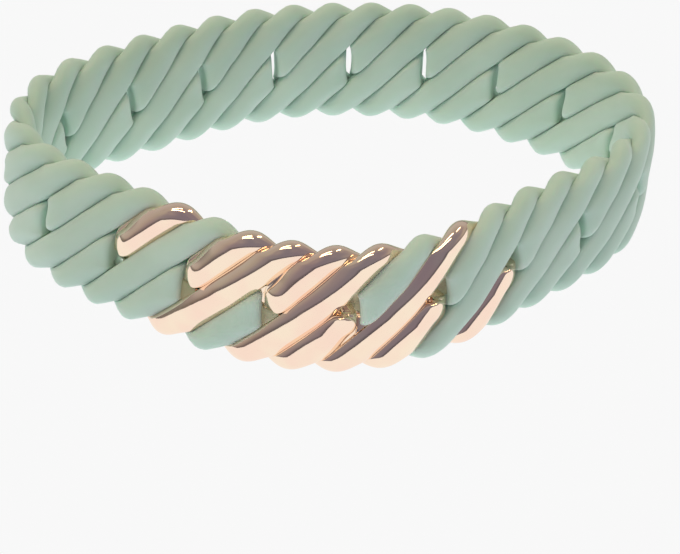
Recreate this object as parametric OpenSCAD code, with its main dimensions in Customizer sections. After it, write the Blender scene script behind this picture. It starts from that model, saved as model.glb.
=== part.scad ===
// A stretch bracelet plaited from closed figure-eight links.
// Every link is one flat strip that spirals twice round the band and turns on edge
// at each end, where it passes through the weave between its neighbours. Links start
// one pitch apart and are three pitches long, so the weave is three links deep.
// The loop lies on its side: Z is its axis, z = 0 is the surface it rests on, and
// the origin is under the middle of its outline.

/* [Loop] */
// Links round the whole loop
link_count = 19; // [19]
// Distance from one slot of the weave to the next, at mid thickness
pitch = 9.8; // [9.4:0.1:10.4]

/* [Band] */
// Height of the band as it lies, which is its width on the wrist
band_height = 16.1; // [15:0.1:18]
// Thickness of the band, its two layers together
band_thickness = 4.1; // [3.8:0.1:4.6]
// Space between the outer layer and the inner layer
layer_gap = 0.4; // [0.35:0.05:0.5]
// Space between neighbouring strips of a layer, measured along the loop
strip_gap = 0.35; // [0.2:0.05:0.5]

/* [Slots] */
// Width of the slot between two link ends
slot_width = 0.8; // [0.5:0.1:1.2]
// Height of the slot between two link ends
slot_height = 4.8; // [3.6:0.1:4.9]

/* [Strip edges] */
// Share of the strip's thickness that its side walls have
side_share = 0.6; // [0.4:0.05:0.8]
// Share of the strip's width that each soft edge takes
edge_share = 0.15; // [0.1:0.01:0.25]
// Share of its thickness that the side walls have where it turns over the band's edges
crest_side_share = 0.4; // [0.3:0.05:0.8]
// Share of its width that each soft edge takes there
crest_edge_share = 0.25; // [0.1:0.01:0.35]

/* [Hidden] */
// Heading of the loop's mid line as waves added to a plain circle, which draws it into
// an uneven oval. Columns: waves round the loop, swing in degrees, phase in degrees
OVAL_WAVES = [
    [2, 16.8, -84],
    [3, 6.3, -63],
    [4, 12.6, 94],
    [5, 1.1, -111],
    [6, 3.8, -109]
];
// Tilt of the band's wall out of upright, as waves round the loop. Its top leans outwards
// where the tilt is above 0. Columns: waves round the loop, swing in degrees, phase in degrees
TILT_WAVES = [
    [0, 1.0, 180],
    [1, 12.8, -23],
    [2, 2.6, 92],
    [3, 4.6, -167]
];
// Heading at the middle of the far side, where the loop starts
START_HEADING = 180;
// Steps of the mid line for one pitch
STEPS_PER_PITCH = 16;
// Slot that the first gold link starts from, in pitches from the far side
FIRST_SLOT = 6.808;
// Pitches that a link reaches over
LINK_REACH = 3;
// Gold links in a row, before the silicone links
GOLD_COUNT = 3;

half_pitch = pitch / 2;
loop_length = link_count * pitch;
plan_steps = link_count * STEPS_PER_PITCH;
plan_step = loop_length / plan_steps;

strip_thickness = (band_thickness - layer_gap) / 2;
strip_half_width = (half_pitch - strip_gap) / 2;
wrap_radius = (band_thickness + layer_gap) / 4;
straight_half = (band_height - band_thickness) / 2;
turn_length = 4 * straight_half + 2 * PI * wrap_radius;
link_length = LINK_REACH * pitch;
// Way along the loop for each millimetre of strip, measured round the band
lean = link_length / turn_length;

// Half the strip's width where it stands on edge in a slot
on_edge_half = 0.82 * band_thickness / 2;
// Height above the slot's middle at which the strip has left the far layer
far_layer_end = 0.45 * half_pitch;
// Height above the slot's middle at which the strip lies flat in its own layer
flat_start = 0.62 * half_pitch;

// Way along the loop that the strip's far corner draws back for each millimetre of rise,
// so that it clears the strip that crosses behind it
DIVE = 1.67;
// Stations up the strip from the middle of a slot, as shares of half a pitch
RISE_SHARES = [0, 0.1, 0.2, 0.3, 0.42, 0.55];
// Turn of the strip over the band's edge at each station there
WRAP_ANGLES = [0, 45, 90, 135, 180];

SILICONE = [0.63, 0.77, 0.73];
ROSE_GOLD = [0.87, 0.60, 0.50];

// Sum of waves at a share of the loop
function wave_sum(waves, share) =
    [for (wave = waves) wave[1] * cos(360 * wave[0] * share - wave[2])] * [for (wave = waves) 1];

// Heading of the mid line, and tilt of the band's wall there, at a share of the loop
function heading(share) = START_HEADING + 360 * share + wave_sum(OVAL_WAVES, share);
function wall_tilt(share) = wave_sum(TILT_WAVES, share);

// Direction out of the loop where the mid line has a heading
function outwards(facing) = [sin(facing), -cos(facing)];

// Mid line stepped out along its heading, before its ends are brought together
function stepped_line() = [
    for (
        i = 0, place = [0, 0];
        i <= plan_steps;
        middle = heading((i + 0.5) / plan_steps),
        place = place + plan_step * [cos(middle), sin(middle)],
        i = i + 1
    ) place
];

// The same line closed, by sharing out the gap between its ends
function closed_line(line) =
    let (gap = line[plan_steps] - line[0])
    [for (i = [0:plan_steps]) line[i] - gap * i / plan_steps];

// The same line centred on the middle of the tilted band's outline
function centred_line(line) =
    let (
        outer_face = [
            for (i = [0:plan_steps])
                let (
                    share = i / plan_steps,
                    reach = band_thickness / 2 + straight_half * abs(sin(wall_tilt(share)))
                )
                line[i] + reach * outwards(heading(share))
        ],
        xs = [for (place = outer_face) place.x],
        ys = [for (place = outer_face) place.y],
        middle = [max(xs) + min(xs), max(ys) + min(ys)] / 2
    )
    [for (place = line) place - middle];

mid_line = centred_line(closed_line(stepped_line()));

// Place on the flat band (u along it, v up, w outwards) bent round the loop, where the
// band tilts about its mid line and stands on its lower edge
function on_loop(place) =
    let (
        turns = place.x / loop_length,
        share = turns - floor(turns),
        step = min(floor(share * plan_steps), plan_steps - 1),
        rest = share * plan_steps - step,
        mid = mid_line[step] + rest * (mid_line[step + 1] - mid_line[step]),
        tilt = wall_tilt(share),
        spot = mid + (place.z * cos(tilt) + place.y * sin(tilt)) * outwards(heading(share)),
        base = straight_half * cos(tilt) + band_thickness / 2
    )
    [spot.x, spot.y, base + place.y * cos(tilt) - place.z * sin(tilt)];

// Smooth fall from 1 to 0 as x goes from 0 to 1
function ease_out(x) = x >= 1 ? 0 : (1 + cos(180 * x)) / 2;

// Edge of the slot at a height above its middle
function slot_edge(rise) =
    let (share = min(1, rise / (slot_height / 2)))
    slot_width / 2 * sqrt(1 - share * share);

// Inner corners of the strip's section, then its outline, at a height above a slot
function left_corner(rise) = [
    max(slot_edge(rise), strip_half_width - rise * DIVE, rise * lean - strip_half_width),
    layer_gap / 2 - (on_edge_half + layer_gap / 2) * ease_out(rise / far_layer_end)
];
function right_corner(rise) = [
    strip_half_width + rise * lean,
    layer_gap / 2 + (on_edge_half - layer_gap / 2) * ease_out(rise / flat_start)
];
function clipped(point, least) = [max(point.x, least), min(point.y, band_thickness / 2)];
function outline(left, right, least, side = side_share, edge = edge_share) =
    let (
        across = right - left,
        out = [-across.y, across.x] / norm(across) * strip_thickness
    )
    [for (point = [
        left,
        left + out * side,
        left + across * edge + out,
        right - across * edge + out,
        right + out * side,
        right
    ]) clipped(point, least)];

function slot_section(rise) = outline(
    left_corner(rise),
    right_corner(rise),
    max(slot_edge(rise), rise * lean - strip_half_width)
);
function flat_section(way, side = side_share, edge = edge_share) =
    let (middle = way * lean)
    outline(
        [middle - strip_half_width, layer_gap / 2],
        [middle + strip_half_width, layer_gap / 2],
        middle - strip_half_width,
        side,
        edge
    );

// Section's points set up at a height v, turned about the band's long direction
function stood(section, height, turn) =
    [for (point = section) [point.x, height + point.y * sin(turn), point.y * cos(turn)]];

// First quarter of a link: from the left slot up the front, over the top edge and
// halfway down the back
quarter = concat(
    [for (share = RISE_SHARES)
        let (rise = share * half_pitch)
        stood(slot_section(rise), rise, 0)],
    [let (rise = (RISE_SHARES[len(RISE_SHARES) - 1] * half_pitch + straight_half) / 2)
        stood(flat_section(rise), rise, 0)],
    [for (turn = WRAP_ANGLES)
        let (crest = sin(turn) > 0)
        stood(
            flat_section(
                straight_half + wrap_radius * turn * PI / 180,
                crest ? crest_side_share : side_share,
                crest ? crest_edge_share : edge_share
            ),
            straight_half,
            turn
        )],
    [for (height = [straight_half / 2, 0])
        stood(flat_section(turn_length / 2 - height), height, 180)]
);
quarter_last = len(quarter) - 1;

// Half turns that carry the quarter onto the rest of the link
function upside_down(section) =
    [for (i = [len(section) - 1:-1:0])
        [link_length - section[i].x, -section[i].y, section[i].z]];
function back_to_front(section) =
    [for (point = section) [link_length - point.x, point.y, -point.z]];

half_link = concat(
    quarter,
    [for (i = [quarter_last - 1:-1:0]) upside_down(quarter[i])]
);
half_last = len(half_link) - 1;
whole_link = concat(
    half_link,
    [for (i = [1:half_last - 1]) back_to_front(half_link[i])]
);

// One link of the plait, which starts at a slot given in pitches from the far side
module link(slot) {
    stations = len(whole_link);
    sides = len(whole_link[0]);
    polyhedron(
        points = [
            for (section = whole_link, point = section)
                on_loop(point + [slot * pitch, 0, 0])
        ],
        faces = [
            for (i = [0:stations - 1], k = [0:sides - 1])
                let (
                    here = i * sides,
                    ahead = ((i + 1) % stations) * sides,
                    after = (k + 1) % sides,
                    edge_wall = k % (sides / 2) != sides / 2 - 1,
                    right_half = k >= sides / 2,
                    going_back = i >= half_last
                )
                each edge_wall && right_half != going_back
                    ? [
                        [here + k, ahead + k, here + after],
                        [ahead + k, ahead + after, here + after]
                    ]
                    : [
                        [here + k, ahead + k, ahead + after],
                        [here + k, ahead + after, here + after]
                    ]
        ]
    );
}

module gold_link(number) {
    color(ROSE_GOLD) link(FIRST_SLOT + number - 1);
}

module silicone_link(number) {
    color(SILICONE) link(FIRST_SLOT + GOLD_COUNT + number - 1);
}

gold_link(1);  // gold_link_1
gold_link(2);  // gold_link_2
gold_link(3);  // gold_link_3
silicone_link(1);  // silicone_link_01
silicone_link(2);  // silicone_link_02
silicone_link(3);  // silicone_link_03
silicone_link(4);  // silicone_link_04
silicone_link(5);  // silicone_link_05
silicone_link(6);  // silicone_link_06
silicone_link(7);  // silicone_link_07
silicone_link(8);  // silicone_link_08
silicone_link(9);  // silicone_link_09
silicone_link(10);  // silicone_link_10
silicone_link(11);  // silicone_link_11
silicone_link(12);  // silicone_link_12
silicone_link(13);  // silicone_link_13
silicone_link(14);  // silicone_link_14
silicone_link(15);  // silicone_link_15
silicone_link(16);  // silicone_link_16
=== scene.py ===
"""Stretch bracelet plaited from soft mint links, with three polished rose-gold links in front.

Every link is one flat strip that spirals twice round the band and turns on edge at each end,
where it passes through the weave. A link is first drawn on a flat band, with u along the band,
v up it and w outwards from its middle, and Geometry Nodes then wrap it round the oval loop.
The loop lies on its side on a light table. Sizes are in millimetres until a mesh is made.
"""

import logging
import math
from dataclasses import dataclass
from enum import Enum

import bpy
import numpy as np
from mathutils import Matrix, Vector


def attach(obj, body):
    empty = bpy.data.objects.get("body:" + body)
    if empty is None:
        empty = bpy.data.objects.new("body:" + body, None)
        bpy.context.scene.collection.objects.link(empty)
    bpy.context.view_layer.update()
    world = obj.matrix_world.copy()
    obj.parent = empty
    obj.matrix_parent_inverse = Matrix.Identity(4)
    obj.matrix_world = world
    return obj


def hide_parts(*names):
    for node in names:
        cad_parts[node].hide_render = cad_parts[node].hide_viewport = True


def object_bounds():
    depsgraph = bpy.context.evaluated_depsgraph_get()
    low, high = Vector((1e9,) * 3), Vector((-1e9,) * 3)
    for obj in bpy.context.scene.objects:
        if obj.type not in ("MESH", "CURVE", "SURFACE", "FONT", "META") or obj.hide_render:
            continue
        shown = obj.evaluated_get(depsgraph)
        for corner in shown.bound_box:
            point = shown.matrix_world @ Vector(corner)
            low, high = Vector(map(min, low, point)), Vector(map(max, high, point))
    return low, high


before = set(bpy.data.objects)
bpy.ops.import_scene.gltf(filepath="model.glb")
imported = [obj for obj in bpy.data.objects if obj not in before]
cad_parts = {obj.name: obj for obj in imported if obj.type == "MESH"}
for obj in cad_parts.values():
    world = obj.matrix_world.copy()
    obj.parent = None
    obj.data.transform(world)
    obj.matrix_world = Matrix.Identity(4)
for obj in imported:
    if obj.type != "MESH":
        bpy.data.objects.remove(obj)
CAD_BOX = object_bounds()

MM = 0.001
ROOT = "root"
log = logging.getLogger("bracelet")


def smooth_step(x: float | np.ndarray) -> float | np.ndarray:
    """Smooth rise from 0 to 1 as x goes from 0 to 1."""
    x = np.clip(x, 0.0, 1.0)
    return x * x * (3 - 2 * x)


def mixed(a: float, b: float, share: float) -> float:
    """Value that lies a share of the way from a to b."""
    return a + (b - a) * share


def add_object(name: str, data: bpy.types.ID) -> bpy.types.Object:
    """Puts a new object into the scene.

    Args:
        name: The object's name.
        data: Its mesh, curve, lamp or camera.

    Returns:
        The new object, at the origin.
    """
    made = bpy.data.objects.new(name, data)
    bpy.context.scene.collection.objects.link(made)
    return made


def placed(place: Vector, across: Vector, up: Vector, back: Vector) -> Matrix:
    """Place and turn of a lamp or camera, from its own three directions."""
    return Matrix.Translation(place) @ Matrix((across, up, back)).transposed().to_4x4()


class LinkKind(Enum):
    """The two kinds of link in the loop, each with its material slot."""

    GOLD = "rose_gold"
    SILICONE = "mint_silicone"


@dataclass(frozen=True)
class Weave:
    """Driving sizes of the plait, in millimetres. Neighbouring strips of a layer touch."""

    band_height: float
    link_count: int = 19
    pitch: float = 9.8
    band_thickness: float = 4.1
    layer_gap: float = 0.4
    slot_width: float = 0.8
    slot_height: float = 4.8
    link_reach: int = 3
    first_slot: float = 6.808

    @property
    def half_pitch(self) -> float:
        """Distance from one strip of a layer to the next."""
        return self.pitch / 2

    @property
    def loop_length(self) -> float:
        """Length of the mid line of the whole loop."""
        return self.link_count * self.pitch

    @property
    def link_length(self) -> float:
        """Way along the loop that one link covers."""
        return self.link_reach * self.pitch

    @property
    def inner(self) -> float:
        """Distance of a layer's inner face from the middle of the band."""
        return self.layer_gap / 2

    @property
    def outer(self) -> float:
        """Distance of a layer's outer face from the middle of the band."""
        return self.band_thickness / 2

    @property
    def half_width(self) -> float:
        """Half the strip's width, measured along the loop."""
        return self.half_pitch / 2

    @property
    def wrap_radius(self) -> float:
        """Radius that the middle of the strip takes over the band's edge."""
        return (self.outer + self.inner) / 2

    @property
    def straight_half(self) -> float:
        """Height above the band's middle at which the strip starts over the edge."""
        return self.band_height / 2 - self.outer

    @property
    def turn_length(self) -> float:
        """Length of one turn of the strip round the band, without its lean."""
        return 4 * self.straight_half + 2 * math.pi * self.wrap_radius

    @property
    def lean(self) -> float:
        """Way along the loop for each millimetre of strip, measured round the band."""
        return self.link_length / self.turn_length


@dataclass(frozen=True)
class Wave:
    """A wave round the loop. Swing and phase are in degrees."""

    waves: int
    swing: float
    phase: float


@dataclass(frozen=True)
class OvalLoop:
    """Mid line of the loop, an uneven oval drawn by its heading, and the tilt of its wall."""

    weave: Weave
    oval_waves: tuple[Wave, ...] = (
        Wave(2, 16.8, -84),
        Wave(3, 6.3, -63),
        Wave(4, 12.6, 94),
        Wave(5, 1.1, -111),
        Wave(6, 3.8, -109),
    )
    tilt_waves: tuple[Wave, ...] = (
        Wave(0, 1.0, 180),
        Wave(1, 12.8, -23),
        Wave(2, 2.6, 92),
        Wave(3, 4.6, -167),
    )
    start_heading: float = 180.0
    steps: int = 1216

    @staticmethod
    def wave_sum(waves: tuple[Wave, ...], share: np.ndarray) -> np.ndarray:
        """Sum of waves at shares of the loop, in degrees."""
        return sum(w.swing * np.cos(np.radians(360 * w.waves * share - w.phase)) for w in waves)

    def heading(self, share: np.ndarray) -> np.ndarray:
        """Heading of the mid line at shares of the loop, in radians."""
        return np.radians(self.start_heading + 360 * share + self.wave_sum(self.oval_waves, share))

    def tilt(self, share: np.ndarray) -> np.ndarray:
        """Tilt of the band's wall at shares of the loop, in radians, top outwards above 0."""
        return np.radians(self.wave_sum(self.tilt_waves, share))

    def points(self) -> np.ndarray:
        """Draws the mid line.

        Returns:
            Places along it, closed and centred on the middle of the tilted band's outline.
        """
        middle = self.heading((np.arange(self.steps) + 0.5) / self.steps)
        way = np.stack([np.cos(middle), np.sin(middle)], axis=1)
        line = np.cumsum(self.weave.loop_length / self.steps * way, axis=0)
        line = np.vstack([[0, 0], line])
        share = np.linspace(0, 1, self.steps + 1)
        line = line - line[-1] * share[:, None]
        facing = self.heading(share)
        reach = self.weave.outer + self.weave.straight_half * np.abs(np.sin(self.tilt(share)))
        outline = line + reach[:, None] * np.stack([np.sin(facing), -np.cos(facing)], axis=1)
        return line[:-1] - (outline.max(axis=0) + outline.min(axis=0)) / 2

    def build(self) -> bpy.types.Object:
        """Makes the mid line as a closed curve, whose tilt is that of the band's wall.

        Returns:
            The curve object, in metres.
        """
        places = self.points() * MM
        flat, weight = np.zeros(self.steps), np.ones(self.steps)
        curve = bpy.data.curves.new("mid_line", "CURVE")
        curve.dimensions = "3D"
        spline = curve.splines.new("POLY")
        spline.points.add(self.steps - 1)
        spline.points.foreach_set("co", np.column_stack([places, flat, weight]).ravel())
        spline.points.foreach_set("tilt", self.tilt(np.arange(self.steps) / self.steps))
        spline.use_cyclic_u = True
        return add_object("mid_line", curve)


@dataclass(frozen=True)
class Strip:
    """Soft form of the strip that a link is made of, in millimetres.

    Its section has six corners. Its outer face has two of them, and the end of its tail, which
    lies behind the strip that it crosses in a slot, has the first and the last.
    """

    weave: Weave
    # Fall of the outer face from its middle to its sides, on the band's faces and over the
    # band's edges, and the share of the first that it has at a slot.
    face_crown: float = 0.45
    wrap_crown: float = 1.55
    slot_crown: float = 0.5
    # Fall of the outer face towards the band's edges, and the height above the band's middle
    # where it starts.
    shoulder_drop: float = 0.3
    shoulder_start: float = 2.6
    # Rounding of the outer corners on the faces, over the edges and at a slot, of the hidden
    # corners, of the tail's corners at a slot and of its last corner above it.
    outer_round: float = 0.6
    wrap_round: float = 1.8
    slot_round: float = 0.6
    inner_round: float = 0.25
    tail_round: float = 0.7
    step_round: float = 0.1
    # Share of the solids' slot that is open, and softness of the turn from its edge.
    slot_share: float = 0.9
    corner_soft: float = 0.4
    # Height of the tail above a slot, in half pitches, and the powers of the curve of its end.
    tail_height: float = 0.36
    tail_powers: tuple[float, float] = (2.4, 0.6)
    # Height above a slot, in half pitches, at which the inner face is clear of the band's
    # middle, and its slant in the slot.
    foot_height: float = 0.1
    foot_slant: float = 0.05
    # Shares of the strip's width where its inner face steps back and where its tail ends, near
    # a slot and well above it. They grow from spread_start for spread_length, in half pitches.
    step_shares: tuple[float, float] = (0.3, 0.66)
    tail_shares: tuple[float, float] = (0.15, 0.33)
    spread_start: float = 0.5
    spread_length: float = 1.5
    # Largest share of a side that the rounding of one of its corners takes.
    most_round: float = 0.48
    corner_points: int = 5
    wall_points: int = 1
    face_points: int = 5

    @property
    def third(self) -> int:
        """Points in a third of a section: two corners, a wall and a face."""
        return 2 * self.corner_points + self.wall_points + self.face_points

    def slot_edge(self, rise: float) -> float:
        """Half the slot's width at a height above its middle."""
        share = min(1.0, rise / (self.weave.slot_height / 2))
        return self.weave.slot_width / 2 * math.sqrt(1 - share * share)

    def foot_edge(self, rise: float) -> float:
        """Left side of the strip's foot, at a height above the slot's middle."""
        return self.slot_share * self.slot_edge(rise)

    def soft_max(self, first: float, second: float) -> float:
        """The larger of two values, with a soft turn where they cross."""
        return (first + second + math.hypot(first - second, self.corner_soft)) / 2

    def away(self, rise: float) -> float:
        """How far the strip is clear of its slot, from 0 in it to 1 where its tail ends."""
        return smooth_step(rise / (self.tail_height * self.weave.half_pitch))

    def tail_depth(self, rise: float) -> float:
        """Depth of the strip's tail.

        Args:
            rise: Height above a slot's middle.

        Returns:
            How far behind the band's middle the tail reaches.
        """
        weave = self.weave
        share = rise / (self.tail_height * weave.half_pitch)
        if share >= 1:
            return -weave.inner
        along, across = self.tail_powers
        return (weave.outer + weave.inner) * (1 - share**along) ** across - weave.inner

    def shoulder_share(self, height: float) -> float:
        """Share of the way from the shoulder's start to the band's edge, below 0 under it."""
        return (height - self.shoulder_start) / (self.weave.straight_half - self.shoulder_start)

    def wrap_reach(self, turn: float) -> float:
        """Reach of the outer face over the band's edge, an oval that runs on from the shoulders.

        Args:
            turn: Angle from the band's outer face, in radians.

        Returns:
            Distance of the outer face from the edge's axis.
        """
        weave = self.weave
        start = weave.outer - self.shoulder_drop
        slope = -2 * self.shoulder_drop / (weave.straight_half - self.shoulder_start) * start
        share = min(turn, math.pi - turn) / (math.pi / 2)
        oval = 1 / math.hypot(math.cos(turn) / start, math.sin(turn) / weave.outer)
        return oval + slope * math.pi / 2 * share * (1 - share) ** 2

    def corners(self, rise: float, reach: float) -> np.ndarray:
        """Corners of the strip's section.

        Args:
            rise: Way from the slot's middle, measured round the band.
            reach: Distance of the outer face from the band's middle, or from the edge's axis.

        Returns:
            The six corners, across and outwards, from the tail round the outer face.
        """
        weave = self.weave
        middle = rise * weave.lean
        half = weave.half_width
        left = self.soft_max(self.foot_edge(rise), middle - half)
        right = middle + half
        width = right - left
        tail = self.tail_depth(rise)
        flat = smooth_step(rise / (self.foot_height * weave.half_pitch))
        inner = weave.inner * flat
        slant = self.foot_slant * (1 - flat)
        spread = smooth_step((rise / weave.half_pitch - self.spread_start) / self.spread_length)
        step_in = mixed(*self.step_shares, spread)
        tail_in = mixed(*self.tail_shares, spread)
        return np.array([
            [left, -tail],
            [left, reach],
            [right, reach],
            [right, inner + slant],
            [max(half - middle, left + step_in * width), inner - slant],
            [max(half - middle, left + tail_in * width), -tail],
        ])

    def rounds(self, rise: float, edge: float) -> list[float]:
        """Rounding of each corner of a section.

        Args:
            rise: Way from the slot's middle, measured round the band.
            edge: How far over the band's edge the strip is, from 0 on the faces to 1 on top.

        Returns:
            One rounding for each of the six corners.
        """
        away = self.away(rise)
        outer = mixed(mixed(self.slot_round, self.outer_round, away), self.wrap_round, edge)
        inner = self.inner_round
        first = mixed(self.tail_round, inner, away)
        last = mixed(self.tail_round, self.step_round, away)
        return [first, outer, outer, inner, inner, last]

    def rounded(self, corners: np.ndarray, rounds: list[float]) -> np.ndarray:
        """Rounds an outline's corners with parabolas and adds points along its sides.

        Args:
            corners: Corners in order round the outline.
            rounds: Rounding of each corner.

        Returns:
            The points of the section.
        """
        before = np.roll(corners, 1, axis=0) - corners
        after = np.roll(corners, -1, axis=0) - corners
        side = np.linalg.norm(after, axis=1)
        side_before = np.roll(side, 1)
        points = []
        ends = []
        for i, corner in enumerate(corners):
            start = before[i] * min(rounds[i] / side_before[i], self.most_round)
            end = after[i] * min(rounds[i] / side[i], self.most_round)
            t = np.linspace(0, 1, self.corner_points)[:, None]
            points.append(corner + start * (1 - t) ** 2 + end * t**2)
            ends.append((corner + start, corner + end))
        ring = []
        for i in range(len(corners)):
            ring.append(points[i])
            count = self.wall_points if i % 2 == 0 else self.face_points
            t = np.linspace(0, 1, count + 2)[1:-1, None]
            here, there = ends[i][1], ends[(i + 1) % len(corners)][0]
            ring.append(here * (1 - t) + there * t)
        return np.vstack(ring)

    def crown_base(self, edge: float) -> float:
        """Height over the band's middle from which the strip's outer face is crowned."""
        return self.weave.inner

    def drawn_in(
        self, rise: float, left: float, right: float, level: np.ndarray, share: np.ndarray
    ) -> np.ndarray:
        """Way along the loop that points move where the strip's sides draw in above its foot.

        Args:
            rise: Height above the slot's middle, below 0 on the tail.
            left: Left side of the strip's foot.
            right: Right side of its foot.
            level: Height of each point over the strip's face, below 0 under it.
            share: Share of the foot's width at which each point lies.

        Returns:
            One move for each point, none on a soft strip.
        """
        return np.zeros(len(level))

    def section(self, rise: float, reach: float, edge: float) -> np.ndarray:
        """Outline of the strip where it leaves a slot and climbs its layer.

        Args:
            rise: Way from the slot's middle, measured round the band.
            reach: Distance of the outer face from the band's middle, or from the edge's axis.
            edge: How far over the band's edge the strip is, from 0 on the faces to 1 on top.

        Returns:
            Points across and outwards, anticlockwise seen from the slot.
        """
        corners = self.corners(rise, reach)
        left, right, tail_right = corners[0, 0], corners[2, 0], corners[5, 0]
        tail = -corners[0, 1]
        ring = self.rounded(corners, self.rounds(rise, edge))
        slot_crown = self.face_crown * mixed(self.slot_crown, 1.0, self.away(rise))
        crown = mixed(slot_crown, self.wrap_crown, edge)
        base = self.crown_base(edge)
        depth = self.weave.outer - base
        front = np.clip((ring[:, 1] - base) / depth, 0, 1)
        back = np.clip((-ring[:, 1] - base) / depth, 0, 1)
        front_share = np.clip((ring[:, 0] - left) / (right - left), 0, 1)
        back_share = np.clip((ring[:, 0] - left) / (tail_right - left), 0, 1)
        ring[:, 0] += self.drawn_in(rise, left, right, ring[:, 1] - reach, front_share)
        # Known fault: the level here is measured from the tail's own end. So on a cast link the
        # strip's inner face is drawn in too where no tail is left, which makes thin fins there.
        ring[:, 0] += self.drawn_in(-rise, left, tail_right, -ring[:, 1] - tail, back_share)
        ring[:, 1] -= crown * front * (2 * front_share - 1) ** 2
        ring[:, 1] += crown * back * (2 * back_share - 1) ** 2
        return ring

    def face_section(self, rise: float, height: float) -> np.ndarray:
        """Outline of the strip on one of the band's faces.

        Args:
            rise: Way from the slot's middle, measured round the band.
            height: Height above the band's middle.

        Returns:
            Points across and outwards, anticlockwise seen from the slot.
        """
        share = self.shoulder_share(height)
        reach = self.weave.outer - self.shoulder_drop * max(0.0, share) ** 2
        return self.section(rise, reach, smooth_step(share) / 2)

    def wrap_section(self, turn: float) -> np.ndarray:
        """Outline of the strip over the band's edge.

        Args:
            turn: Angle from the band's outer face, in radians.

        Returns:
            Points across and away from the edge's axis, anticlockwise seen from the slot.
        """
        rise = self.weave.straight_half + self.weave.wrap_radius * turn
        return self.section(rise, self.wrap_reach(turn), 0.5 + 0.5 * math.sin(turn) ** 2)


@dataclass(frozen=True)
class CastStrip(Strip):
    """Strip of a cast metal link: a domed rib on a web.

    The webs of two ribs that start at one slot meet in the middle of it and close it. There each
    rib ends in a round tip, which touches both of the rib's sides.
    """

    face_crown: float = 0.75
    wrap_crown: float = 1.45
    slot_crown: float = 0.9
    shoulder_drop: float = 0.42
    shoulder_start: float = 0.5
    outer_round: float = 0.2
    wrap_round: float = 0.4
    slot_round: float = 0.2
    tail_round: float = 0.2
    wall_points: int = 9
    face_points: int = 11
    # Depth of the web under the rib's face, and the height in which its sides become the rib's.
    groove_depth: float = 0.85
    groove_wall: float = 0.4
    # Radius of the tip, its distance from the slot's middle, and the height above it in which
    # the rib's left side comes out to the strip's.
    tip_radius: float = 1.5
    tip_edge: float = 0.1
    tip_fade: float = 3.2

    @property
    def slope(self) -> float:
        """Length along the loop of one unit measured square to the strip."""
        return math.hypot(1, self.weave.lean)

    @property
    def tip_across(self) -> float:
        """Place of the tip's middle along the loop, from the slot's middle."""
        return self.tip_edge + self.tip_radius

    @property
    def tip_rise(self) -> float:
        """Height of the tip's middle above the slot's, where the tip meets the rib's right side."""
        reach = self.tip_across + self.tip_radius * self.slope
        return (reach - self.weave.half_width) / self.weave.lean

    @property
    def tip_inset(self) -> float:
        """Inset of the rib's left side where the tip meets it."""
        middle = self.tip_across - self.tip_rise * self.weave.lean
        return middle + self.weave.half_width - self.tip_radius * self.slope

    def foot_edge(self, rise: float) -> float:
        """Edge of the web, which reaches the slot's middle."""
        return 0.0

    def crown_base(self, edge: float) -> float:
        """Height from which the rib is crowned: the web's on the faces, less over the edge."""
        return mixed(self.weave.outer - self.groove_depth, self.weave.inner, edge)

    def rib_sides(self, rise: float) -> tuple[float, float]:
        """Sides of the rib, round its tip and above it.

        Args:
            rise: Height above the slot's middle.

        Returns:
            The left and the right side, along the loop from the slot's middle.
        """
        middle = rise * self.weave.lean
        half = self.weave.half_width
        off = rise - self.tip_rise
        touch = self.tip_radius * self.weave.lean / self.slope
        bulge = math.sqrt(max(0.0, self.tip_radius**2 - off**2))
        fade = smooth_step((off - touch) / self.tip_fade)
        left = middle - half + mixed(self.tip_inset, 0.0, fade)
        right = middle + half
        if off < touch:
            left = self.tip_across - bulge
        if off < -touch:
            right = self.tip_across + bulge
        return left, right

    def tail_depth(self, rise: float) -> float:
        """Depth of the tail, whose rib ends at the tip and whose web ends where a soft one does.

        Args:
            rise: Height above a slot's middle.

        Returns:
            How far behind the band's middle the tail reaches.
        """
        outer = self.weave.outer
        web = super().tail_depth(rise) / outer * (outer - self.groove_depth)
        share = rise / (self.tip_radius - self.tip_rise)
        if share >= 1:
            return web
        return web + (outer - web) * math.sqrt(1 - share**2)

    def drawn_in(
        self, rise: float, left: float, right: float, level: np.ndarray, share: np.ndarray
    ) -> np.ndarray:
        """Way along the loop that points move from the web's sides to the rib's.

        Args:
            rise: Height above the slot's middle, below 0 on the tail.
            left: Left side of the web.
            right: Right side of the web.
            level: Height of each point over the rib's face, below 0 under it.
            share: Share of the web's width at which each point lies.

        Returns:
            One move for each point.
        """
        rib_left, rib_right = self.rib_sides(rise)
        raised = smooth_step((level + self.groove_depth) / self.groove_wall)
        return raised * ((1 - share) * (rib_left - left) + share * (rib_right - right))


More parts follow.
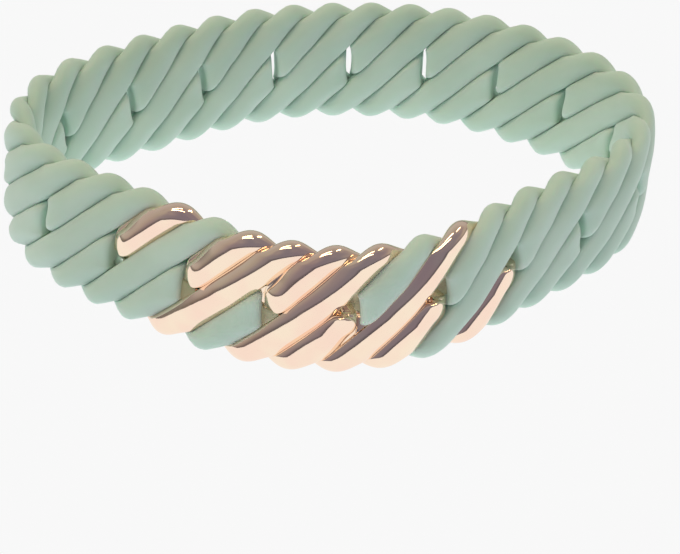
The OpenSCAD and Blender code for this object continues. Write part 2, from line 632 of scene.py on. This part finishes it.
@dataclass(frozen=True)
class LinkTemplate:
    """One link drawn on the flat band, as rings of points along its closed path.

    Rings on the front are rise_step apart up to fine_height, which is in half pitches above the
    slot, and straight_step apart from there. They are wrap_step degrees apart over the band's
    edge, and back_step apart on the back.
    """

    strip: Strip
    rise_step: float = 0.12
    fine_height: float = 0.62
    straight_step: float = 0.3
    wrap_step: float = 7.5
    back_step: float = 0.45

    @staticmethod
    def stood(section: np.ndarray, height: float, turn: float) -> np.ndarray:
        """Sets a section up at a height, turned about the band's long direction."""
        across, out = section[:, 0], section[:, 1]
        return np.stack([across, height + out * math.sin(turn), out * math.cos(turn)], axis=1)

    def quarter(self) -> list[np.ndarray]:
        """Draws one quarter of the link.

        Returns:
            Rings from the left slot up the front, over the edge and halfway down the back.
        """
        strip = self.strip
        weave = strip.weave
        top = weave.straight_half
        fine = self.fine_height * weave.half_pitch
        rises = np.concatenate([
            np.linspace(0, fine, round(fine / self.rise_step) + 1),
            np.linspace(fine, top, round((top - fine) / self.straight_step) + 1)[1:],
        ])
        turns = np.radians(np.arange(self.wrap_step, 180, self.wrap_step))
        heights = np.linspace(top, 0, round(top / self.back_step) + 1)
        far = weave.turn_length / 2
        front = [self.stood(strip.face_section(rise, rise), rise, 0) for rise in rises]
        over = [self.stood(strip.wrap_section(turn), top, turn) for turn in turns]
        back = [self.stood(strip.face_section(far - up, up), up, math.pi) for up in heights]
        return front + over + back

    def upside_down(self, ring: np.ndarray) -> np.ndarray:
        """Turns a ring half round about the way out of the band, and mends its order.

        Args:
            ring: Points of a ring.

        Returns:
            The points of the ring at the link's other end.
        """
        strip = self.strip
        turned = ring * [-1, -1, 1] + [strip.weave.link_length, 0, 0]
        last = strip.third + 2 * strip.corner_points + strip.wall_points - 1
        return turned[(last - np.arange(len(ring))) % len(ring)]

    def back_to_front(self, ring: np.ndarray) -> np.ndarray:
        """Turns a ring half round about the band's upright, and mends its order."""
        turned = ring * [-1, 1, -1] + [self.strip.weave.link_length, 0, 0]
        return np.roll(turned, self.strip.third, axis=0)

    def rings(self) -> np.ndarray:
        """Turns a quarter of the link into the whole.

        Returns:
            Rings of the whole link, in order along its closed path.
        """
        quarter = self.quarter()
        half = quarter + [self.upside_down(ring) for ring in reversed(quarter[:-1])]
        return np.array(half + [self.back_to_front(ring) for ring in half[1:-1]])

    def mesh(self) -> bpy.types.Mesh:
        """Makes the link's mesh on the flat band, in metres.

        Returns:
            A mesh with smooth faces. On a cast link some hidden faces have no area.
        """
        rings = self.rings()
        count, points = rings.shape[:2]
        here, k = np.meshgrid(np.arange(count), np.arange(points), indexing="ij")
        ahead = (here + 1) % count
        skew = np.where(ahead == 0, 2 * self.strip.third, 0)
        after = (k + 1) % points
        faces = np.stack([
            here * points + k,
            here * points + after,
            ahead * points + (after - skew) % points,
            ahead * points + (k - skew) % points,
        ], axis=-1).reshape(-1, 4)
        mesh = bpy.data.meshes.new("flat_link")
        mesh.from_pydata((rings.reshape(-1, 3) * MM).tolist(), [], faces.tolist())
        mesh.validate()
        mesh.shade_smooth()
        return mesh


class NodeTree:
    """Builds a node tree, with one method for any node."""

    def __init__(self, tree: bpy.types.NodeTree) -> None:
        """Keeps the tree and empties it.

        Args:
            tree: The tree to fill.
        """
        self.tree = tree
        tree.nodes.clear()

    def add(
        self, kind: str, settings: dict | None = None, inputs: dict | None = None
    ) -> bpy.types.Node:
        """Adds one node.

        Args:
            kind: Blender's name for the node's type.
            settings: Properties of the node, set before its sockets. A ramp takes "stops".
            inputs: Values or links of its input sockets, by name or by number.

        Returns:
            The new node.
        """
        node = self.tree.nodes.new(kind)
        for name, setting in (settings or {}).items():
            if name == "stops":
                self.set_stops(node.color_ramp, setting)
            else:
                setattr(node, name, setting)
        for name, source in (inputs or {}).items():
            self.put(node.inputs[name], source)
        return node

    def vector(self, operation: str, inputs: dict) -> bpy.types.NodeSocket:
        """Adds one Vector Math node and gives its result."""
        return self.add("ShaderNodeVectorMath", {"operation": operation}, inputs).outputs[0]

    def put(self, socket: bpy.types.NodeSocket, source: object) -> None:
        """Gives an input socket a link or a value.

        Args:
            socket: The input socket.
            source: A Value, an output socket or a plain value.
        """
        if isinstance(source, Value):
            self.tree.links.new(source.socket, socket)
        elif isinstance(source, bpy.types.NodeSocket):
            self.tree.links.new(source, socket)
        else:
            socket.default_value = source

    @staticmethod
    def set_stops(ramp: bpy.types.ColorRamp, stops: tuple) -> None:
        """Sets a ramp's stops.

        Args:
            ramp: The ramp of a Color Ramp node.
            stops: A position and a colour for each stop.
        """
        while len(ramp.elements) < len(stops):
            ramp.elements.new(1.0)
        for element, (position, colour) in zip(ramp.elements, stops):
            element.position = position
            element.color = (*colour, 1.0)


class Value:
    """A number that varies over a surface. Sums on it add their Math nodes."""

    def __init__(self, nodes: NodeTree, socket: bpy.types.NodeSocket) -> None:
        """Wraps an output socket.

        Args:
            nodes: The tree that the socket belongs to.
            socket: The output socket.
        """
        self.nodes = nodes
        self.socket = socket

    def maths(self, operation: str, *terms: object) -> "Value":
        """Adds one Math node on the given terms."""
        node = self.nodes.add("ShaderNodeMath", {"operation": operation}, dict(enumerate(terms)))
        return Value(self.nodes, node.outputs[0])

    def __add__(self, other: object) -> "Value":
        """Sum."""
        return self.maths("ADD", self, other)

    __radd__ = __add__

    def __sub__(self, other: object) -> "Value":
        """Difference."""
        return self.maths("SUBTRACT", self, other)

    def __rsub__(self, other: object) -> "Value":
        """Difference from a number."""
        return self.maths("SUBTRACT", other, self)

    def __mul__(self, other: object) -> "Value":
        """Product."""
        return self.maths("MULTIPLY", self, other)

    __rmul__ = __mul__

    def sine(self) -> "Value":
        """Sine of an angle in radians."""
        return self.maths("SINE", self)

    def cosine(self) -> "Value":
        """Cosine of an angle in radians."""
        return self.maths("COSINE", self)

    def between(self, low: float, high: float) -> "Value":
        """Smooth rise between two levels.

        Args:
            low: Level at which it starts.
            high: Level at which it ends.

        Returns:
            A value from 0 to 1.
        """
        node = self.nodes.add(
            "ShaderNodeMapRange",
            {"interpolation_type": "SMOOTHSTEP"},
            {"Value": self, "From Min": low, "From Max": high},
        )
        return Value(self.nodes, node.outputs["Result"])


class Surface(NodeTree):
    """A material's node tree, with the patterns that the finishes share."""

    NOISE_ROUGHNESS = 0.55
    CLOUD_LEVELS = (0.3, 0.7)

    def __init__(self, name: str) -> None:
        """Makes an empty material.

        Args:
            name: The material's name.
        """
        self.material = bpy.data.materials.new(name)
        self.material.use_nodes = True
        super().__init__(self.material.node_tree)
        self.place = self.add("ShaderNodeTexCoord").outputs["Object"]

    def noise(self, size_mm: float, detail: float, stretch: tuple = (1, 1, 1)) -> Value:
        """Noise on Object coordinates.

        Args:
            size_mm: Size of its largest patches.
            detail: Octaves of finer patches.
            stretch: Scale of the pattern along each direction.

        Returns:
            A value about 0.5.
        """
        mapping = self.add("ShaderNodeMapping", inputs={"Vector": self.place, "Scale": stretch})
        node = self.add("ShaderNodeTexNoise", inputs={
            "Vector": mapping.outputs[0],
            "Scale": 1 / (size_mm * MM),
            "Detail": detail,
            "Roughness": self.NOISE_ROUGHNESS,
        })
        return Value(self, node.outputs["Fac"])

    def cloud(self, size_mm: float, detail: float) -> Value:
        """Soft patches from 0 to 1."""
        return self.noise(size_mm, detail).between(*self.CLOUD_LEVELS)

    def blend(self, share: Value, first: tuple, second: tuple) -> bpy.types.NodeSocket:
        """Mixes two colours by a value."""
        inputs = {"Factor": share, 6: first, 7: second}
        return self.add("ShaderNodeMix", {"data_type": "RGBA"}, inputs).outputs[2]

    def bump(self, height: Value, distance_mm: float) -> bpy.types.NodeSocket:
        """Bump from a height between 0 and 1 of the given distance."""
        inputs = {"Height": height, "Distance": distance_mm * MM, "Strength": 1.0}
        return self.add("ShaderNodeBump", inputs=inputs).outputs["Normal"]

    def finish(self, **sockets: object) -> bpy.types.Material:
        """Closes the tree with its shader.

        Args:
            sockets: Sockets of the shader, with a space written as an underscore.

        Returns:
            The finished material.
        """
        inputs = {name.replace("_", " "): source for name, source in sockets.items()}
        shader = self.add("ShaderNodeBsdfPrincipled", inputs=inputs)
        self.add("ShaderNodeOutputMaterial", inputs={"Surface": shader.outputs[0]})
        return self.material


@dataclass(frozen=True)
class MintSilicone:
    """Matt, slightly cloudy silicone with a soft skin, into which a little light sinks."""

    deep: tuple = (0.56, 0.75, 0.65, 1.0)
    pale: tuple = (0.61, 0.80, 0.70, 1.0)
    cloud_mm: float = 9.0
    skin_mm: float = 0.25
    skin_height_mm: float = 0.006
    detail: float = 3.0
    roughness: float = 0.56
    skin_roughness: float = 0.1
    ior: float = 1.42
    sink_share: float = 0.8
    sink_mm: float = 1.5
    sink_colour: tuple = (1.0, 1.2, 1.1)
    sheen: float = 0.08
    sheen_roughness: float = 0.5

    def build(self) -> bpy.types.Material:
        """Makes the material.

        Returns:
            The silicone.
        """
        surface = Surface(LinkKind.SILICONE.value)
        cloud = surface.cloud(self.cloud_mm, self.detail)
        skin = surface.noise(self.skin_mm, self.detail)
        return surface.finish(
            Base_Color=surface.blend(cloud, self.deep, self.pale),
            Roughness=self.roughness + self.skin_roughness * skin,
            Normal=surface.bump(skin, self.skin_height_mm),
            IOR=self.ior,
            Subsurface_Weight=self.sink_share,
            Subsurface_Radius=self.sink_colour,
            Subsurface_Scale=self.sink_mm * MM,
            Sheen_Weight=self.sheen,
            Sheen_Roughness=self.sheen_roughness,
        )


@dataclass(frozen=True)
class RoseGold:
    """Polished rose-gold plating with faint waves and hairline wear."""

    warm: tuple = (1.0, 0.76, 0.62, 1.0)
    light: tuple = (1.0, 0.83, 0.65, 1.0)
    cloud_mm: float = 5.0
    cloud_detail: float = 2.0
    wave_mm: float = 2.4
    wave_detail: float = 1.0
    wave_height_mm: float = 0.012
    hair_mm: float = 0.5
    hair_detail: float = 4.0
    hair_stretch: tuple = (1, 1, 6)
    hair_levels: tuple = (0.5, 0.8)
    roughness: float = 0.05
    hair_roughness: float = 0.06

    def build(self) -> bpy.types.Material:
        """Makes the material.

        Returns:
            The plating.
        """
        surface = Surface(LinkKind.GOLD.value)
        cloud = surface.cloud(self.cloud_mm, self.cloud_detail)
        wave = surface.noise(self.wave_mm, self.wave_detail)
        hair = surface.noise(self.hair_mm, self.hair_detail, self.hair_stretch)
        return surface.finish(
            Base_Color=surface.blend(cloud, self.warm, self.light),
            Roughness=self.roughness + self.hair_roughness * hair.between(*self.hair_levels),
            Metallic=1.0,
            Normal=surface.bump(wave, self.wave_height_mm),
        )


class LoopWrap:
    """Geometry Nodes that wrap a flat link round the mid line, tilted and standing on its edge."""

    INPUTS = (
        ("Mid Line", "NodeSocketObject"),
        ("Slot Place", "NodeSocketFloat"),
        ("Loop Length", "NodeSocketFloat"),
        ("Straight Half", "NodeSocketFloat"),
        ("Half Thickness", "NodeSocketFloat"),
        ("Finish", "NodeSocketMaterial"),
    )

    def __init__(self) -> None:
        """Makes the tree with its named inputs."""
        self.group = bpy.data.node_groups.new("wrap_round_loop", "GeometryNodeTree")
        faces = self.group.interface
        faces.new_socket("Geometry", in_out="INPUT", socket_type="NodeSocketGeometry")
        self.sockets = {
            name: faces.new_socket(name, in_out="INPUT", socket_type=kind).identifier
            for name, kind in self.INPUTS
        }
        faces.new_socket("Geometry", in_out="OUTPUT", socket_type="NodeSocketGeometry")
        self.fill(NodeTree(self.group))

    @staticmethod
    def fill(nodes: NodeTree) -> None:
        """Adds the nodes, from the flat link to the dressed link at its place.

        Args:
            nodes: The empty tree.
        """
        given = nodes.add("NodeGroupInput").outputs
        place = nodes.add("GeometryNodeInputPosition").outputs[0]
        flat = nodes.add("ShaderNodeSeparateXYZ", inputs={0: place}).outputs
        along = Value(nodes, flat["X"]) + given["Slot Place"]
        line = nodes.add("GeometryNodeObjectInfo", inputs={"Object": given["Mid Line"]})
        sample = nodes.add("GeometryNodeSampleCurve", {"mode": "LENGTH"}, {
            "Curves": line.outputs["Geometry"],
            "Value": nodes.add("GeometryNodeInputCurveTilt").outputs[0],
            "Length": along.maths("FLOORED_MODULO", along, given["Loop Length"]),
        }).outputs
        tilt = Value(nodes, sample["Value"])
        up, out = Value(nodes, flat["Y"]), Value(nodes, flat["Z"])
        risen = (up + given["Straight Half"]) * tilt.cosine()
        height = risen - out * tilt.sine() + given["Half Thickness"]
        lifted = nodes.add("ShaderNodeCombineXYZ", inputs={"Z": height}).outputs[0]
        outwards = nodes.vector("CROSS_PRODUCT", {0: sample["Tangent"], 1: (0, 0, 1)})
        reach = out * tilt.cosine() + up * tilt.sine()
        off = nodes.vector("SCALE", {"Vector": outwards, "Scale": reach})
        moved = nodes.vector("ADD", {0: off, 1: lifted})
        whole = nodes.vector("ADD", {0: sample["Position"], 1: moved})
        wrapped = nodes.add("GeometryNodeSetPosition", inputs={
            "Geometry": given["Geometry"],
            "Position": whole,
        })
        real = nodes.add("GeometryNodeRealizeInstances", inputs={"Geometry": wrapped.outputs[0]})
        dressed = nodes.add("GeometryNodeSetMaterial", inputs={
            "Geometry": real.outputs[0],
            "Material": given["Finish"],
        })
        nodes.add("NodeGroupOutput", inputs={0: dressed.outputs[0]})

    def wrap(self, name: str, flat: bpy.types.Mesh, values: dict) -> bpy.types.Object:
        """Wraps one link round the loop.

        Args:
            name: Name of the new piece.
            flat: Mesh of the link on the flat band.
            values: Values of the tree's inputs, by name.

        Returns:
            The link as a plain mesh at its place.
        """
        piece = add_object(name, flat)
        wrap = piece.modifiers.new("wrap", "NODES")
        wrap.node_group = self.group
        for socket, value in values.items():
            wrap[self.sockets[socket]] = value
        graph = bpy.context.evaluated_depsgraph_get()
        mesh = bpy.data.meshes.new_from_object(piece.evaluated_get(graph), depsgraph=graph)
        piece.modifiers.remove(wrap)
        mesh.name = name
        piece.data = mesh
        return piece


@dataclass(frozen=True)
class Bracelet:
    """The whole loop of links. The cast links have closer rings than the soft ones."""

    weave: Weave
    gold_count: int = 3
    cast_rise_step: float = 0.08
    cast_straight_step: float = 0.15
    cast_wrap_step: float = 5.0

    def names(self) -> list[tuple[LinkKind, str]]:
        """Lists the links.

        Returns:
            Kind and CAD node of every link, in order round the loop.
        """
        gold = [(LinkKind.GOLD, f"gold_link_{i + 1}") for i in range(self.gold_count)]
        rest = self.weave.link_count - self.gold_count
        return gold + [(LinkKind.SILICONE, f"silicone_link_{i + 1:02d}") for i in range(rest)]

    def forms(self) -> dict[LinkKind, bpy.types.Mesh]:
        """Makes a link of each kind on the flat band.

        Returns:
            The mesh of each kind.
        """
        cast = LinkTemplate(
            CastStrip(self.weave),
            rise_step=self.cast_rise_step,
            straight_step=self.cast_straight_step,
            wrap_step=self.cast_wrap_step,
        )
        soft = LinkTemplate(Strip(self.weave))
        return {LinkKind.GOLD: cast.mesh(), LinkKind.SILICONE: soft.mesh()}

    def build(self) -> list[bpy.types.Object]:
        """Makes every link at its place, dresses it and hides its CAD node.

        Returns:
            The links, in order round the loop.
        """
        weave = self.weave
        finishes = {LinkKind.GOLD: RoseGold().build(), LinkKind.SILICONE: MintSilicone().build()}
        line = OvalLoop(weave).build()
        forms = self.forms()
        wrap = LoopWrap()
        links = []
        for i, (kind, node) in enumerate(self.names()):
            link = wrap.wrap(f"{node}_skin", forms[kind], {
                "Mid Line": line,
                "Slot Place": (weave.first_slot + i) * weave.pitch * MM,
                "Loop Length": weave.loop_length * MM,
                "Straight Half": weave.straight_half * MM,
                "Half Thickness": weave.outer * MM,
                "Finish": finishes[kind],
            })
            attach(link, ROOT)
            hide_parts(node)
            links.append(link)
        bpy.data.objects.remove(line)
        for flat in forms.values():
            bpy.data.meshes.remove(flat)
        return links


@dataclass(frozen=True)
class Lamp:
    """A flat lamp that faces the bracelet.

    Its place and its length and width are in metres, and its power is in watts. Its turn is that
    of its long side in plan, in degrees from +X.
    """

    name: str
    place: tuple[float, float, float]
    turn: float
    size: tuple[float, float]
    power: float
    colour: tuple[float, float, float] = (1.0, 0.8, 0.48)

    def build(self) -> None:
        """Hangs the lamp."""
        light = bpy.data.lights.new(self.name, "AREA")
        light.shape = "RECTANGLE"
        light.size, light.size_y = self.size
        light.energy = self.power
        light.color = self.colour
        turn = math.radians(self.turn)
        back = Vector(self.place).normalized()
        up = back.cross(Vector((math.cos(turn), math.sin(turn), 0))).normalized()
        place = placed(Vector(self.place), up.cross(back), up, back)
        add_object(self.name, light).matrix_world = place


@dataclass(frozen=True)
class PhotoCamera:
    """Camera at the photograph's place.

    Its tilt and roll are in degrees, its shift in widths of the frame, and the rest is in
    millimetres.
    """

    tilt: float = 37.755
    roll: float = 0.12
    target: tuple[float, float, float] = (0.291, 0.794, 8.03)
    distance: float = 225.16
    sensor_width: float = 36.0
    lens: float = 100.18
    shift: tuple[float, float] = (0.0155, -0.1571)

    def build(self) -> None:
        """Sets the camera up and makes it the scene's."""
        tilt, roll = math.radians(self.tilt), math.radians(self.roll)
        back = Vector((0, -math.cos(tilt), math.sin(tilt)))
        level_up = Vector((0, math.sin(tilt), math.cos(tilt)))
        up = level_up * math.cos(roll) - Vector((1, 0, 0)) * math.sin(roll)
        place = Vector(self.target) * MM + back * self.distance * MM
        data = bpy.data.cameras.new("camera")
        data.sensor_width = self.sensor_width
        data.sensor_fit = "HORIZONTAL"
        data.lens = self.lens
        data.shift_x, data.shift_y = self.shift
        camera = add_object("camera", data)
        camera.matrix_world = placed(place, up.cross(back), up, back)
        bpy.context.scene.camera = camera


@dataclass(frozen=True)
class Studio:
    """Light table, dim room, small warm lamps and the camera."""

    floor_size: float = 3.0
    floor_glow: float = 0.94
    # Colours of the room from its front to its back, the scale and strength of its patches, and
    # how far its left side counts as further back.
    room: tuple = (
        (0.0, (0.21, 0.20, 0.26)),
        (0.3, (0.31, 0.28, 0.30)),
        (0.5, (0.40, 0.37, 0.34)),
        (1.0, (0.48, 0.47, 0.46)),
    )
    patch_scale: float = 1.6
    patch_detail: float = 1.0
    patch_share: float = 1.2
    side_share: float = 0.25
    # Height of the dark foot of the room, as the sine of its elevation, and its glow.
    skirting: float = 0.15
    skirting_glow: float = 0.4
    lamps: tuple[Lamp, ...] = (
        Lamp("lamp_front", (-0.3, -0.4, 0.95), -10, (0.9, 0.08), 1.7),
        Lamp("lamp_middle", (-0.3, -0.1, 0.95), 5, (0.7, 0.08), 1.7),
        Lamp("lamp_right", (0.45, 0.1, 0.9), 60, (0.35, 0.06), 0.6),
        Lamp("lamp_back", (0.6, 0.25, 0.9), 70, (0.35, 0.06), 0.6),
    )
    camera: PhotoCamera = PhotoCamera()

    def floor(self) -> None:
        """Lays the glowing table top."""
        half = self.floor_size / 2
        corners = [(-half, -half, 0), (half, -half, 0), (half, half, 0), (-half, half, 0)]
        mesh = bpy.data.meshes.new("light_table")
        mesh.from_pydata(corners, [], [(0, 1, 2, 3)])
        material = bpy.data.materials.new("table_glow")
        material.use_nodes = True
        nodes = NodeTree(material.node_tree)
        glow = nodes.add("ShaderNodeEmission", inputs={
            "Color": (1, 1, 1, 1),
            "Strength": self.floor_glow,
        })
        nodes.add("ShaderNodeOutputMaterial", inputs={"Surface": glow.outputs[0]})
        mesh.materials.append(material)
        add_object("light_table", mesh)

    def world(self) -> None:
        """Sets the room round the table, dark along its foot, cool in front and paler behind."""
        world = bpy.data.worlds.new("room")
        world.use_nodes = True
        nodes = NodeTree(world.node_tree)
        way = nodes.add("ShaderNodeTexCoord").outputs["Generated"]
        ways = nodes.add("ShaderNodeSeparateXYZ", inputs={0: way}).outputs
        noise = nodes.add("ShaderNodeTexNoise", inputs={
            "Vector": way,
            "Scale": self.patch_scale,
            "Detail": self.patch_detail,
        })
        patch = self.patch_share * (Value(nodes, noise.outputs["Fac"]) - 0.5)
        share = Value(nodes, ways["Y"]) - self.side_share * Value(nodes, ways["X"]) + patch
        colour = nodes.add("ShaderNodeValToRGB", {"stops": self.room}, {
            "Fac": share.between(-1.0, 1.0),
        })
        lit = Value(nodes, ways["Z"]).between(0.0, self.skirting)
        room = nodes.add("ShaderNodeBackground", inputs={
            "Color": colour.outputs["Color"],
            "Strength": self.skirting_glow + (1 - self.skirting_glow) * lit,
        })
        nodes.add("ShaderNodeOutputWorld", inputs={"Surface": room.outputs[0]})
        bpy.context.scene.world = world

    def build(self) -> None:
        """Sets up the whole studio."""
        self.floor()
        self.world()
        for lamp in self.lamps:
            lamp.build()
        self.camera.build()
        bpy.context.scene.view_settings.view_transform = "Standard"


def main() -> None:
    """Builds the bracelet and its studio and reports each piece."""
    logging.basicConfig(level=logging.INFO, format="%(message)s")
    low, high = CAD_BOX
    weave = Weave(band_height=round((high.z - low.z) / MM, 1))
    for link in Bracelet(weave).build():
        log.info("%s: %d faces", link.name, len(link.data.polygons))
    Studio().build()


if __name__ == "__main__":
    main()
